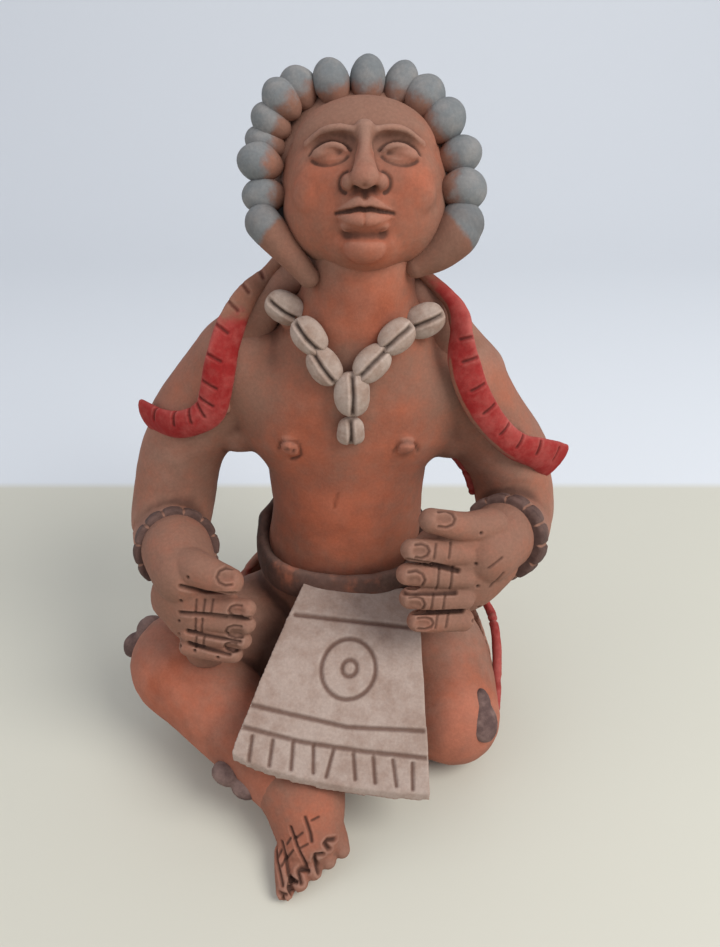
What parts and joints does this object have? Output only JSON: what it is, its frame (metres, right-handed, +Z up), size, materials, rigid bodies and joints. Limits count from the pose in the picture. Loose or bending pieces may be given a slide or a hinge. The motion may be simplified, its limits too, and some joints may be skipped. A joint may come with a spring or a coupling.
{
  "type": "seated clay figure",
  "caption": "Hand-built terracotta figure seated cross-legged with its head tilted back, wearing a red-edged cape, a shell necklace, bracelets and an incised apron.",
  "frame": {"origin": "middle of the figure's underside, at the centre of its bounding box", "axes": "+Z up through the head, -Y the way the figure faces, +X towards its left side"},
  "size_m": [0.1893, 0.1662, 0.2686],
  "materials": {
    "clay": "matte"
  },
  "bodies": {
    "root": {"figure": "clay"}
  },
  "joints": []
}
